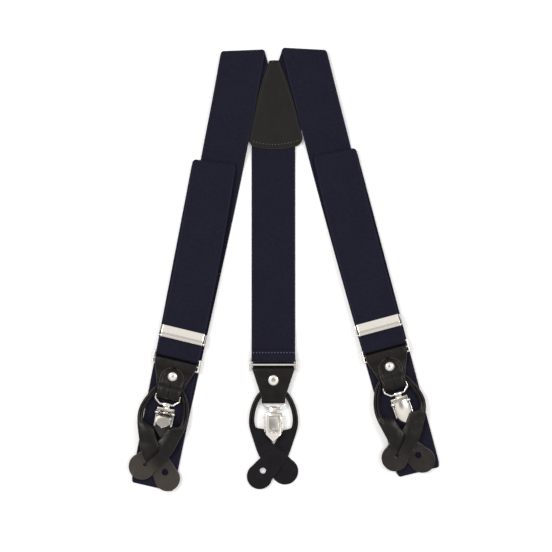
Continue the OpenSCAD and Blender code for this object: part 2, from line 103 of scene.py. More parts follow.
# where each loop's sides stand beside the clip, at local -X and +X
SIDE_X, SIDE_Y = {"left": (-19.2, 16.4), "right": (-17.4, 19.8), "back": (-17.6, 17.4)}, -49.5
BAIL_NARROW = 0.88
# how far each end's loop lobes are lightened: a painted sheen, strongest on the left end, whose lobes face
# the light
LOBE_PAINTED_SHEEN = {"left": 0.55, "right": 0.16, "back": 0.2}
BACK_SLIT_SHIFT = (1.3, -0.6)
SLIT_LOBE_R, THRU_LOBE_R, HOLE_R = 10.7, 10.3, 2.45
# width of a loop's strap along its run from beside the clip to the lobe, before the lobe's own end
STRAP_WIDE = [[0, 4.5], [0.12, 4.8], [0.16, 7], [0.21, 10.5], [0.27, 12.6], [0.5, 14.6], [0.75, 17.5]]
JAW_PER_LEVER = 0.06
MIDDLE_BAR_Y = -5.0
PATCH_TURN, PATCH_TURN_Y = 1.0, 168.0


def place(e):
    """An end's own frame in the shared one."""
    return (Matrix.Translation((e.x + LAY[0], e.y + LAY[1], e.z))
            @ Matrix.Rotation(math.radians(e.turn), 4, "Z")
            @ Matrix.Rotation(math.pi * e.flipped, 4, "Y"))


def turned(e, y, a):
    """The end's frame, turned by a degrees about its point at y."""
    a = math.radians(-a if e.flipped else a)
    return (place(e) @ Matrix.Translation((0, y, 0)) @ Matrix.Rotation(a, 4, "Z")
            @ Matrix.Translation((0, -y, 0)))


def about_pin(angle):
    """Opens by angle about the clip's pin."""
    return (Matrix.Translation((0, PIN_Y, PIN_Z)) @ Matrix.Rotation(math.radians(-angle), 4, "X")
            @ Matrix.Translation((0, -PIN_Y, -PIN_Z)))


def clip_place(e):
    return turned(e, BAIL_Y, e.clip_turn)


def loop_place(e):
    return turned(e, CORD_Y, e.loop_turn)


# -------------------- small mathematics
def turn(a):
    """The direction with heading a: 0 points down the photo."""
    return np.array([math.sin(math.radians(a)), -math.cos(math.radians(a))])


def unit(v):
    v = np.asarray(v, float)
    return v / max(np.linalg.norm(v), 1e-9)


def beside(d):
    """A quarter turn to the left of d."""
    return np.array([-d[1], d[0]])


def slant(a):
    """The angle within 90 degrees of 0 that lies along the same line."""
    return a - 180 * round(a / 180)


def bezier(p, a0, q, a1, t, grip=1 / 3):
    p, q = np.asarray(p, float), np.asarray(q, float)
    d = np.linalg.norm(q - p) * grip
    b, c, s = p + turn(a0) * d, q - turn(a1) * d, 1 - t
    return p * s ** 3 + b * 3 * s * s * t + c * 3 * s * t * t + q * t ** 3


def heading(p, a0, q, a1, t):
    return unit(bezier(p, a0, q, a1, min(1, t + 0.01)) - bezier(p, a0, q, a1, max(0, t - 0.01)))


def lookup(t, table):
    """The value at t in a table of (place, value), joined by straight lines."""
    return float(np.interp(t, [r[0] for r in table], [r[1] for r in table]))


def smooth(t, a, b):
    x = min(1, max(0, (t - a) / (b - a)))
    return x * x * (3 - 2 * x)


def rounded(points, step=0.7, passes=3):
    """A polyline with its corners eased, resampled at even steps."""
    p = np.array(points, float)
    for _ in range(passes):
        q = [p[0]]
        for a, b in zip(p[:-1], p[1:]):
            q += [a * 0.75 + b * 0.25, a * 0.25 + b * 0.75]
        p = np.array(q + [p[-1]])
    run = np.r_[0, np.cumsum(np.linalg.norm(np.diff(p, axis=0), axis=1))]
    n = max(3, int(run[-1] / step))
    at = np.linspace(0, run[-1], n + 1)
    return np.stack([np.interp(at, run, p[:, k]) for k in range(p.shape[1])], 1)


def trend(p, i):
    """The direction of a path at its point i."""
    return unit(p[min(i + 1, len(p) - 1)] - p[max(i - 1, 0)])


def arc(c, r, a0, a1, n):
    return [(c[0] + r * math.cos(math.radians(a0 + (a1 - a0) * i / n)),
             c[1] + r * math.sin(math.radians(a0 + (a1 - a0) * i / n))) for i in range(n + 1)]


# -------------------- materials
def fill(ramp, stops):
    """Sets a colour ramp's stops, each (place, colour)."""
    e = ramp.elements
    while len(e) < len(stops):
        e.new(0.5)
    for k, (at, c) in enumerate(stops):
        e[k].position = at
        e[k].color = (*c, 1)


class Paint:
    """A node material, built step by step."""

    def __init__(self, name, rough=0.5, metal=0.0, **sockets):
        self.m = bpy.data.materials.new(name)
        self.m.use_nodes = True
        self.n, self.l = self.m.node_tree.nodes, self.m.node_tree.links
        self.b = self.n["Principled BSDF"]
        self.b.inputs["Roughness"].default_value = rough
        self.b.inputs["Metallic"].default_value = metal
        for k, v in sockets.items():
            self.b.inputs[k.replace("_", " ")].default_value = v

    def node(self, kind, **props):
        n = self.n.new("ShaderNode" + kind)
        for k, v in props.items():
            setattr(n, k, v)
        return n

    def put(self, socket, value):
        if hasattr(value, "is_output"):
            self.l.new(value, socket)
        else:
            socket.default_value = value

    def math(self, op, a, b=0.0, c=None):
        n = self.node("Math", operation=op)
        self.put(n.inputs[0], a)
        self.put(n.inputs[1], b)
        if c is not None:
            self.put(n.inputs[2], c)
        return n.outputs[0]

    def where(self):
        return self.node("TexCoord").outputs["Object"]

    def noise(self, size, detail=3.0, rough=0.55, stretch=None):
        """Noise with features of about size millimetres."""
        n = self.node("TexNoise")
        n.inputs["Scale"].default_value = 1 / (size * MM)
        n.inputs["Detail"].default_value = detail
        n.inputs["Roughness"].default_value = rough
        at = self.where()
        if stretch:
            s = self.node("Mapping")
            s.inputs["Scale"].default_value = stretch
            self.l.new(at, s.inputs["Vector"])
            at = s.outputs[0]
        self.l.new(at, n.inputs["Vector"])
        return n.outputs["Fac"]

    def cells(self, size, feature="F1"):
        n = self.node("TexVoronoi", feature=feature)
        n.inputs["Scale"].default_value = 1 / (size * MM)
        self.l.new(self.where(), n.inputs["Vector"])
        return n.outputs["Distance"]

    def both(self, a, x, b, y):
        """The sum of x parts of a and y parts of b."""
        return self.math("ADD", self.math("MULTIPLY", a, x), self.math("MULTIPLY", b, y))

    def spread(self, value, lo, hi, a, b):
        n = self.node("MapRange")
        self.put(n.inputs["Value"], value)
        for k, v in zip(("From Min", "From Max", "To Min", "To Max"), (lo, hi, a, b)):
            n.inputs[k].default_value = v
        return n.outputs[0]

    def ramp(self, value, *stops):
        n = self.node("ValToRGB")
        fill(n.color_ramp, stops)
        self.put(n.inputs[0], value)
        return n.outputs[0]

    def mix(self, fac, a, b):
        n = self.node("Mix", data_type="RGBA")
        for s, v in zip((n.inputs[0], n.inputs[6], n.inputs[7]), (fac, a, b)):
            self.put(s, (*v, 1) if isinstance(v, tuple) and len(v) == 3 else v)
        return n.outputs[2]

    def mask(self, name):
        return self.node("Attribute", attribute_name=name).outputs["Fac"]

    def set(self, socket, value):
        self.put(self.b.inputs[socket], value)
        return self

    def bump(self, height, depth, strength=1.0):
        """Adds relief: height 0 to 1 stands for depth millimetres."""
        n = self.node("Bump")
        n.inputs["Strength"].default_value = strength
        n.inputs["Distance"].default_value = depth * MM
        self.l.new(height, n.inputs["Height"])
        if self.b.inputs["Normal"].is_linked:
            self.l.new(self.b.inputs["Normal"].links[0].from_socket, n.inputs["Normal"])
        self.l.new(n.outputs[0], self.b.inputs["Normal"])
        return self


def make_webbing():
    """Navy elastic webbing: fine cross ribs over warp columns, and firmer selvedges."""
    p = Paint("navy_webbing", 0.8, Specular_IOR_Level=0.12, Sheen_Weight=0.035, Sheen_Roughness=0.4,
              Sheen_Tint=(0.55, 0.6, 0.95, 1))
    at = p.node("SeparateXYZ")
    p.l.new(p.node("UVMap", uv_map="strip").outputs[0], at.inputs[0])
    column = p.math("DIVIDE", at.outputs[0], 0.00072)
    row = p.math("ADD", p.math("DIVIDE", at.outputs[1], 0.00098),
                 p.math("MULTIPLY", p.math("FLOOR", column), 0.5))
    across = p.math("SINE", p.math("MULTIPLY", p.math("FRACT", column), math.pi))
    along = p.math("SINE", p.math("MULTIPLY", p.math("FRACT", row), math.pi))
    cell = p.math("POWER", p.math("MULTIPLY", across, along), 0.6)
    yarn = p.noise(0.35, 2)
    cloud = p.noise(22, 3)
    speck = p.spread(p.noise(1.5, 2), 0.3, 0.7, 0.0, 1.0)
    # the rib pattern also sets the colour, darker in the gaps between ribs: painted shade in the weave's
    # hollows
    tone = p.both(cell, 0.35, cloud, 0.3)
    tone = p.math("ADD", tone, p.math("MULTIPLY", speck, 0.35))
    body = p.ramp(tone, (0.1, (0.0045, 0.0044, 0.0108)), (0.5, (0.0084, 0.008, 0.0182)),
                  (0.9, (0.0138, 0.013, 0.0288)))
    # the selvedges are painted lighter: a painted highlight along their raised ridges
    body = p.mix(p.mask("edge"), body, (0.0125, 0.012, 0.026))
    p.set("Base Color", body)
    p.set("Roughness", p.spread(yarn, 0.3, 0.7, 0.72, 0.9))
    p.bump(cell, 0.16, 0.8).bump(yarn, 0.06, 0.6)
    return p.m


def make_leather(name, dark, mid, light, rough, grain, shine, wear_and_sheen=(0.05, 0.042, 0.035)):
    """Leather with pores, soft creases, worn light edges and uneven gloss; the same light colour laid on the
    loops' lobes is a painted sheen.
    """
    p = Paint(name, rough, Specular_IOR_Level=shine)
    cloud = p.noise(9, 4)
    pores = p.cells(grain, "DISTANCE_TO_EDGE")
    fine = p.noise(grain * 0.6, 3)
    crease = p.noise(5, 2, 0.5, (1, 0.35, 1))
    base = p.ramp(cloud, (0.3, dark), (0.52, mid), (0.75, light))
    # the edge mask mixes in the light colour: real wear on cut edges, and on the loops' lobes a painted sheen
    p.set("Base Color", p.mix(p.mask("edge"), base, wear_and_sheen))
    gloss = p.both(cloud, 0.5, fine, 0.5)
    p.set("Roughness", p.spread(gloss, 0.3, 0.7, rough - 0.07, rough + 0.1))
    p.bump(p.spread(pores, 0.0, 0.25, 0.0, 1.0), 0.02, 0.6).bump(fine, 0.016, 0.6)
    p.bump(crease, 0.5, 0.45).bump(p.noise(15, 1), 1.3, 0.6)
    return p.m


def make_suede():
    p = Paint("suede_back", 0.95, Specular_IOR_Level=0.1, Sheen_Weight=0.06, Sheen_Roughness=0.6,
              Sheen_Tint=(0.8, 0.78, 0.85, 1))
    nap, cloud = p.noise(0.45, 4, 0.7), p.noise(7, 4)
    tone = p.both(nap, 0.5, cloud, 0.5)
    p.set("Base Color", p.ramp(tone, (0.3, (0.006, 0.0054, 0.0064)), (0.7, (0.0135, 0.0122, 0.0142))))
    p.set("Roughness", p.spread(nap, 0.3, 0.7, 0.88, 1.0))
    p.bump(nap, 0.12, 0.8)
    return p.m


def make_nickel(name, rough, tint, brush=(1, 1, 1), depth=0.001):
    """Polished nickel plate: faint scratches, cloudy gloss and darker spots of wear."""
    p = Paint(name, rough, 1.0)
    scratch = p.noise(0.9, 4, 0.6, brush)
    cloud = p.noise(3.5, 3)
    p.set("Base Color", p.ramp(cloud, (0.25, tuple(c * 0.95 for c in tint)), (0.6, tint)))
    p.set("Roughness", p.spread(scratch, 0.3, 0.7, rough - 0.01, rough + 0.02))
    p.bump(scratch, depth, 0.3)
    return p.m


def make_thread(name, colour):
    p = Paint(name, 0.75, Specular_IOR_Level=0.3, Sheen_Weight=0.2)
    twist = p.noise(0.25, 2, 0.5, (1, 3, 1))
    p.set("Base Color", p.ramp(twist, (0.3, tuple(c * 0.6 for c in colour)), (0.7, colour)))
    p.bump(twist, 0.08, 0.8)
    return p.m


def make_rubber():
    p = Paint("black_rubber", 0.6, Specular_IOR_Level=0.4)
    ribs = p.node("TexWave", wave_type="BANDS", bands_direction="Y")
    ribs.inputs["Scale"].default_value = 320
    p.l.new(p.where(), ribs.inputs["Vector"])
    dust = p.noise(1.2, 3)
    p.set("Base Color", p.ramp(dust, (0.3, (0.006, 0.0055, 0.005)), (0.75, (0.014, 0.0125, 0.0115))))
    p.set("Roughness", p.spread(dust, 0.3, 0.7, 0.5, 0.72))
    p.bump(ribs.outputs["Fac"], 0.12, 0.8)
    return p.m


WEBBING = make_webbing()
TAB = make_leather("black_leather", (0.0036, 0.0025, 0.0018), (0.0052, 0.0038, 0.0028),
                   (0.0075, 0.0058, 0.0045), 0.26, 0.4, 0.22)
# the loop leather's light colour is edge wear, and on the lobes a painted sheen
LOOP = make_leather("loop_leather", (0.0036, 0.0026, 0.0022), (0.006, 0.0046, 0.0039),
                    (0.0095, 0.0078, 0.0066), 0.28, 0.5, 0.22, (0.07, 0.058, 0.05))
PATCH = make_leather("patch_leather", (0.005, 0.0043, 0.0031), (0.0072, 0.0061, 0.0045),
                     (0.01, 0.0083, 0.0065), 0.5, 0.6, 0.16, (0.045, 0.039, 0.031))
SUEDE = make_suede()
PLATE = make_nickel("plate_nickel", 0.13, (0.8, 0.77, 0.72), (1, 0.12, 1))
WIRE = make_nickel("wire_nickel", 0.2, (0.78, 0.76, 0.72))
RIVET = make_nickel("rivet_nickel", 0.13, (0.86, 0.85, 0.81))
THREAD = make_thread("grey_thread", (0.15, 0.15, 0.185))
BROWN_THREAD = make_thread("brown_thread", (0.12, 0.105, 0.085))
RUBBER = make_rubber()
# near-black painted shade, laid along each front loop's slit and in the gaps beside the back ring's middle
# bar
GAP_SHADE = Paint("painted_gap_shade", 0.7, Base_Color=(0.0025, 0.0022, 0.002, 1), Specular_IOR_Level=0.1).m


# -------------------- meshes
def put_in(name, data):
    """A new object, placed in the scene."""
    o = bpy.data.objects.new(name, data)
    bpy.context.scene.collection.objects.link(o)
    return o


def make(name, verts, faces, body, mats, nodes=(), matrix=None, face_mats=None, uv=None,
         edge=None, sharp=35, sub=0):
    """A mesh in millimetres becomes a piece that rides on a body."""
    me = bpy.data.meshes.new(name)
    v = np.asarray(verts, float)
    if matrix is not None:
        m = np.array(matrix)
        v = v @ m[:3, :3].T + m[:3, 3]
    me.from_pydata((v * MM).tolist(), [], faces)
    for m in mats if isinstance(mats, (list, tuple)) else [mats]:
        me.materials.append(m)
    if face_mats is not None:
        me.polygons.foreach_set("material_index", np.asarray(face_mats, np.int32))
    if uv is not None:
        layer = me.uv_layers.new(name="strip")
        corner = np.zeros(len(me.loops), np.int32)
        me.loops.foreach_get("vertex_index", corner)
        layer.data.foreach_set("uv", (np.asarray(uv, float)[corner] * MM).ravel())
    mask = me.attributes.new("edge", "FLOAT", "POINT")
    mask.data.foreach_set("value", np.asarray(edge if edge is not None else np.zeros(len(v)), np.float32))
    me.update()
    bm = bmesh.new()
    bm.from_mesh(me)
    bmesh.ops.recalc_face_normals(bm, faces=bm.faces)
    bm.to_mesh(me)
    bm.free()
    me.shade_smooth()
    me.set_sharp_from_angle(angle=math.radians(sharp))
    o = put_in(name, me)
    if sub:
        s = o.modifiers.new("smooth", "SUBSURF")
        s.levels = s.render_levels = sub
        settle(o)
    if body:
        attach(o, body)
    if nodes:
        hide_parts(*nodes)
    return o


def settle(o):
    """Applies the modifiers, so that the mesh is final."""
    bpy.context.view_layer.update()
    done = bpy.data.meshes.new_from_object(o.evaluated_get(bpy.context.evaluated_depsgraph_get()))
    o.modifiers.clear()
    o.data = done
    o.data.name = o.name


def tube_faces(rows, m, caps=True):
    """Faces of a skin of closed rings, each of m points."""
    f = [(i * m + k, i * m + (k + 1) % m, (i + 1) * m + (k + 1) % m, (i + 1) * m + k)
         for i in range(rows - 1) for k in range(m)]
    if caps:
        f += [tuple(range(m))[::-1], tuple(range((rows - 1) * m, rows * m))]
    return f


def grid_shell(tops, lows):
    """Vertices and faces of a sheet with a top and an underside, closed round its edge."""
    rows, cols = tops.shape[:2]
    ring = np.concatenate([tops, lows[:, ::-1]], axis=1)
    m = 2 * cols
    f = tube_faces(rows, m, False)
    for i in (0, rows - 1):
        f += [(i * m + k, i * m + k + 1, i * m + m - 2 - k, i * m + m - 1 - k) for k in range(cols - 1)]
    return ring.reshape(-1, 3), f


# -------------------- webbing
# Across the webbing: place from -1 to 1, and half the thickness there as a share
WEB_SIDE = [(1.0, 0.0), (0.998, 0.55), (0.985, 0.92), (0.962, 1.0), (0.935, 1.0), (0.918, 0.86),
            (0.6, 0.9), (0.3, 0.9)]
WEB_TOP = WEB_SIDE + [(0.0, 0.9)] + [(-u, w) for u, w in WEB_SIDE[::-1]]
WEB_RING = WEB_TOP + [(u, -w) for u, w in WEB_TOP[-2:0:-1]]


def layer(p, a0, f0, q, a1, f1, z, face, n, wave=None):
    far = float(np.linalg.norm(np.subtract(q, p)))
    reach, s0, s1 = 28 / far, slant(a0 - f0), slant(a1 - f1)
    out = []
    for i in range(n + 1):
        t = i / n
        c, d = bezier(p, a0, q, a1, t), heading(p, a0, q, a1, t)
        s = math.radians(s0 * max(0, 1 - t / reach) + s1 * max(0, 1 - (1 - t) / reach))
        h = np.array([d[1] * math.cos(s) - d[0] * math.sin(s), -d[0] * math.cos(s) - d[1] * math.sin(s), 0])
        lo, hi = max(0, t - 1.2 / n), min(1, t + 1.2 / n)
        here = (lookup(lo, z) + 2 * lookup(t, z) + lookup(hi, z)) / 4 if 0 < i < n else lookup(t, z)
        rise = (lookup(hi, z) - lookup(lo, z)) / (far * (hi - lo))
        up = np.array([0, 0, 1.0]) if i in (0, n) else unit([-d[0] * rise, -d[1] * rise, 1])
        out.append((np.array([*c, here + (wave(t) if wave else 0)]), h * WEB_W / 2 / math.cos(s) * face,
                    up * face))
    return out


def fold(last, a, z, n):
    """The webbing turns over after its last row, bulging towards heading a."""
    c, h, up = last
    face = 1 if up[2] > 0 else -1
    m = unit(beside(h))
    m = m if m @ turn(a) > 0 else -m
    r = (z - c[2]) / 2
    way = 1 if r > 0 else -1
    out = []
    for i in range(1, n):
        g = math.pi * i / n
        sg, cg = math.sin(g), math.cos(g)
        out.append((c + np.array([m[0] * abs(r) * sg, m[1] * abs(r) * sg, r - r * cg]), h,
                    np.array([-m[0] * sg * way, -m[1] * sg * way, cg]) * face))
    return out


def ease_corners(rows, first, count, r=2.4):
    """Rounds the corners, seen from above, of the fold whose rows start at first."""
    c = rows[first + count // 2][0]
    m = unit((c - rows[first - 3][0])[:2])
    h = rows[first][1]
    m = unit(beside(h)) * (1 if m @ beside(h) > 0 else -1)
    for i in range(first - 8, first + count + 8):
        d = float((c - rows[i][0])[:2] @ m)
        if 0 <= d < r:
            less = r - math.sqrt(r * r - (r - d) ** 2)
            rows[i] = (rows[i][0], rows[i][1] * (1 - less / np.linalg.norm(rows[i][1])), rows[i][2])


def web_mesh(rows):
    """Skin of the webbing over rows of (centre, half width, normal)."""
    verts, uv, edge, run = [], [], [], 0.0
    for i, (c, h, n) in enumerate(rows):
        if i:
            run += float(np.linalg.norm(c - rows[i - 1][0]))
        for u, w in WEB_RING:
            verts.append(c + h * u + n * (w * WEB_T / 2))
            uv.append((u * WEB_W / 2, run))
            edge.append(1.0 if abs(u) > 0.93 else 0.0)
    return np.array(verts), uv, edge, run


def cut_stub(verts, count, inside):
    """Moves the first rows' points along the webbing, so that the end is cut to a line."""
    m = len(WEB_RING)
    last = verts[(count - 1) * m:count * m].copy()
    first = verts[:m].copy()
    for k in range(m):
        a, b = first[k], last[k]
        t = 0.0
        while t < 0.98 and not inside(*(a + (b - a) * t)[:2]):
            t += 0.01
        a = a + (b - a) * t
        for i in range(count):
            verts[i * m + k] = a + (b - a) * i / (count - 1)


def front_strap(side):
    e = ENDS[side]
    f = FRONT[side]
    top, bottom, upper = (np.add(p, LAY) for p in (f.top, f.bottom, f.upper))
    step_end = f.step + 0.04
    ring_at = np.add(e[:2], LAY)
    start = top + turn(f.stub) * (top[1] - WEB_END_Y - LAY[1]) / math.cos(math.radians(f.stub))
    stub = layer(start, f.stub + 180, 0, top, f.stub + 180, f.slants[0],
                 [[0, PATCH_WEB_Z], [1, PATCH_WEB_Z]], 1, 14)
    long = layer(top, f.long_from, f.slants[0], bottom, f.long_to, f.slants[1],
                 [[0, OVER_PATCH_Z], [f.step, OVER_PATCH_Z], [step_end, FLOOR_Z], [1, FLOOR_Z]], -1, 150)
    back = layer(bottom, f.back, f.slants[1], upper, f.back, f.slants[2],
                 [[0, SECOND_Z], [1, SECOND_Z]], 1, 60)
    phase = 0.3 if f.sign < 0 else 1.2

    def wave(t):
        """The slack front layer undulates a little between its fold and the adjuster."""
        open_part = smooth(t, 0.22, 0.42) * (1 - smooth(t, 0.7, 0.8))
        return open_part * (0.42 * math.sin(2 * math.pi * (t * 3.6 + phase)) + 0.16 * math.sin(19 * t))

    front = layer(upper, f.front, f.slants[2], ring_at, e.turn, e.turn,
                  [[0, THIRD_Z], [0.58, SLIDE_Z], [0.9, SLIDE_Z], [1, e.z + WRAP_R]], -1, 80, wave)
    rows = stub
    for leave, z, then in ((f.stub + 180, OVER_PATCH_Z, long), (f.long_to, SECOND_Z, back),
                           (f.back, THIRD_Z, front)):
        at = len(rows)
        rows = rows + fold(rows[-1], leave, z, 12) + then
        ease_corners(rows, at, 11)
    rows = rows + fold(front[-1], e.turn, e.z - WRAP_R, 14)
    rows.append((np.array([*ring_at, e.z - WRAP_R]), rows[-1][1], np.array([0, 0, 1.0])))
    verts, uv, edge, run = web_mesh(rows)
    mid = MIDDLE_X + LAY[0]
    low = WEB_END_Y + LAY[1]

    def inside(x, y):
        over = (x - mid) * f.sign
        return over > 0.25 and y > low + (17.8 - over) * 15.9 / 17.6

    cut_stub(verts, 15, inside)
    o = make(side + "_webbing", verts, tube_faces(len(rows), len(WEB_RING)), "straps", WEBBING,
             [side + "_strap"], uv=uv, edge=edge, sharp=50)
    return o, run


def side_rows(path):
    """Rows of webbing along a line in Y and Z, 0 in X."""
    p = rounded(path)
    out = []
    for i in range(len(p)):
        d = trend(p, i)
        out.append((np.array([0, *p[i]]), np.array([WEB_W / 2, 0, 0]), np.array([0, -d[1], d[0]])))
    return out


def back_strap():
    e = ENDS["back"]
    z = e.z
    path = ([(189, PATCH_WEB_Z), (178, PATCH_WEB_Z), (167.6, PATCH_WEB_Z), (158, FLOOR_Z), (100, FLOOR_Z),
             (32, FLOOR_Z), (8, z - WRAP_R), (0, z - WRAP_R)] + arc((0, z), WRAP_R, -105, -255, 12)
            + [(0, z + WRAP_R), (2.5, z + WRAP_R - 0.7), (7, z - 0.2)])
    rows = side_rows(path)
    verts, uv, edge, run = web_mesh(rows)
    m = len(WEB_RING)
    head = next(i for i, r in enumerate(rows) if r[0][1] < 150)
    keep = verts[head * m:(head + 1) * m].copy()
    for k in range(m):
        start = 188.4 - abs(verts[k][0] - 0.6) * 0.9 - 0.2
        for i in range(head):
            v = verts[i * m + k]
            v[1] = keep[k][1] + (v[1] - keep[k][1]) * (start - keep[k][1]) / (189 - keep[k][1])
    for i, r in enumerate(rows):
        y = r[0][1]
        ripple = 0.0 if y > 150 or y < 40 else 0.1 * math.sin(y / 9) * smooth(y, 40, 60)
        verts[i * m:(i + 1) * m, 2] += max(0, ripple)
    move = Matrix.Translation((e.x + LAY[0], e.y + LAY[1], 0))
    o = make("back_webbing", verts, tube_faces(len(rows), m), "straps", WEBBING, ["back_strap"],
             move, uv=uv, edge=edge, sharp=50)
    return o, run


def tail(side):
    e = ENDS[side]
    low = THIRD_Z - e.z
    fold_at = 17 + 2.6
    path = ([(0.02, -WRAP_R), (1.5, -WRAP_R), (8, low), (fold_at, low)]
            + arc((fold_at, low + 1.15), 1.15, -80, 80, 8) + [(fold_at, low + 2.3), (9, low + 2.3)])
    rows = side_rows(path)
    verts, uv, edge, run = web_mesh(rows)
    o = make(side + "_webbing_tail", verts, tube_faces(len(rows), len(WEB_RING)), None, WEBBING,
             [side + "_strap_tail"], place(e), uv=uv, edge=edge, sharp=50)
    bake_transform(o)
    return o, run


# -------------------- stitches
def stitches(name, spots, body, mat, nodes=(), length=1.9, r=0.26):
    """A row of stitches, each (place, direction, normal) in millimetres."""
    verts, faces = [], []
    for c, d, n in spots:
        c, d, n = Vector(c), Vector(d).normalized(), Vector(n).normalized()
        s = d.cross(n)
        base = len(verts)
        for i in range(7):
            t = -1 + i / 3
            wide = r * math.sqrt(max(0.05, 1 - t ** 4))
            lift = -0.28 * t * t
            for k in range(8):
                g = math.pi * k / 4
                verts.append(c + d * (t * length / 2) + n * (lift + wide * math.sin(g))
                             + s * (wide * math.cos(g)))
        faces += [tuple(base + x for x in f) for f in tube_faces(7, 8)]
    return make(name, [tuple(v) for v in verts], faces, body, mat, nodes)


# -------------------- patch
def patch_outline():
    half = [bezier([3.7, 168.8], 21, [21.6, 107.4], 10, i / 30) for i in range(31)]
    half += [bezier([21.6, 107.4], 10, [17.1, 100.1], -72, i / 8) for i in range(1, 9)]
    half += [bezier([17.1, 100.1], -75, [0, 97.9], -90, i / 14) for i in range(1, 15)]
    crown = [(3.7 * math.sin(math.radians(g)), 168.8 + 0.25 * math.cos(math.radians(g))) for g in (20, 55)]
    half = [np.array([0.0, 169.1])] + [np.array(c) for c in crown] + half
    return half + [np.array([-p[0], p[1]]) for p in half[-2:0:-1]]


def patch_place(p):
    """The patch is sewn on a little askew."""
    g = math.radians(PATCH_TURN)
    x, y = p[0], p[1] - PATCH_TURN_Y
    return (x * math.cos(g) - y * math.sin(g) + MIDDLE_X + LAY[0],
            x * math.sin(g) + y * math.cos(g) + PATCH_TURN_Y + LAY[1])


def patch_half(name, node, z_out, z_in, mat):
    """One leather layer of the patch: eased edge, sewn groove, and slight swell over the webbing."""
    line = np.array(patch_outline())
    n = len(line)
    side = [unit(line[(i + 1) % n] - line[i - 1]) for i in range(n)]
    inward = np.array([[d[1], -d[0]] for d in side])
    if (inward[n // 4] @ (np.array([0, 130]) - line[n // 4])) < 0:
        inward = -inward
    way = 1 if z_out > z_in else -1
    thick = abs(z_out - z_in)
    rings, edge = [], []

    def add(points, z, mark):
        rings.append([(*patch_place(p), z) for p in points])
        edge.extend([mark] * n)

    # how far in, height as a share of the thickness, and how worn
    for inset, share, mark in ((0.25, 0, 0.6), (0, 0.2, 0.9), (0, 0.55, 1.0), (0.3, 0.85, 0.6),
                               (0.8, 0.98, 0.0), (1.5, 0.98, 0.0), (1.9, 0.78, 0.15), (2.3, 0.98, 0.0)):
        add(line + inward * inset, z_in + way * share * thick, mark)
    base = line + inward * 2.8
    for s in (0, 0.12, 0.28, 0.46, 0.64, 0.82, 0.98):
        spine = np.stack([np.zeros(n), np.clip(base[:, 1], 106, 160)], 1)
        add(base + (spine - base) * s, z_in + way * (thick + 0.05 * math.sin(s * 1.5)), 0.0)
    m = len(rings)
    verts = [v for r in rings for v in r]
    faces = tube_faces(m, n, False)
    faces += [tuple(range((m - 1) * n, m * n)), tuple(range(n))[::-1]]
    return make(name, verts, faces, "straps", mat, [node], edge=edge, sharp=60)


def patch():
    patch_half("patch_front", "patch_upper", 3.5, 2.5, PATCH)
    patch_half("patch_rear", "patch_lower", 0.0, 1.0, SUEDE)
    spots = []
    for i in range(15):
        g = math.radians(-18.2 + 2.6 * i)
        at = (*patch_place((55.4 * math.sin(g), 157 - 55.4 * math.cos(g))), 3.52)
        spots.append((at, (math.cos(g), math.sin(g), 0), (0, 0, 1)))
    stitches("patch_thread", spots, "straps", BROWN_THREAD, ["patch_stitches"], 1.25, 0.3)


def hem_stitches():
    e = ENDS["back"]
    slope = Vector((0, 4.5, -1.15)).normalized()
    spots = []
    for i in range(14):
        x = -15.8 + 2.43 * i
        z = e.z + WRAP_R - 0.7 - 1.15 * (5.2 - 2.5) / 4.5 + WEB_T / 2 - 0.02
        spots.append(((x + e.x + LAY[0], 5.2 + e.y + LAY[1], z), (1, 0.04 * (-1) ** i, 0),
                      (0, -slope.z, slope.y)))
    stitches("back_hem_thread", spots, "straps", THREAD, ["back_strap_stitches"], 1.05, 0.42)


# -------------------- leather tabs
TAB_COLS = sorted({round(s * u, 3) for s in (-1, 1) for u in
                   (0, 0.022, 0.05, 0.2, 0.4, 0.6, 0.76, 0.84, 0.875, 0.91, 0.955, 0.985, 1)})


def leather_rows(path, half, groove):
    """A leather strip swept along Y and Z. half(y, s) is its half width, s its distance so far."""
    p = rounded(path, 0.6)
    tops, lows, edge, run = [], [], [], 0.0
    for i in range(len(p)):
        if i:
            run += float(np.linalg.norm(p[i] - p[i - 1]))
        d = trend(p, i)
        n = np.array([0, -d[1], d[0]])
        w = half(p[i][0], run)
        top, low = [], []
        for u in TAB_COLS:
            side = min(1.0, (1 - abs(u)) * w / 0.45)
            t = HIDE_T / 2 * math.sqrt(max(0.0, 1 - (1 - side) ** 2)) if side < 1 else HIDE_T / 2
            sink = groove(u, p[i][0], run)
            c = np.array([u * w, *p[i]])
            top.append(c + n * (t - sink))
            low.append(c - n * t)
            edge.append(1.0 if side < 0.9 else 0.0)
        tops.append(top)
        lows.append(low)
        edge.extend(edge[-len(TAB_COLS):][::-1])
    verts, faces = grid_shell(np.array(tops), np.array(lows))
    return verts, faces, edge


def tab_body(side):
    """The front tabs grip two bars of the ring and turn with it, the back one hangs from one bar."""
    return side + ("_tab" if side + "_tab" in frame["bodies"] else "_ring")


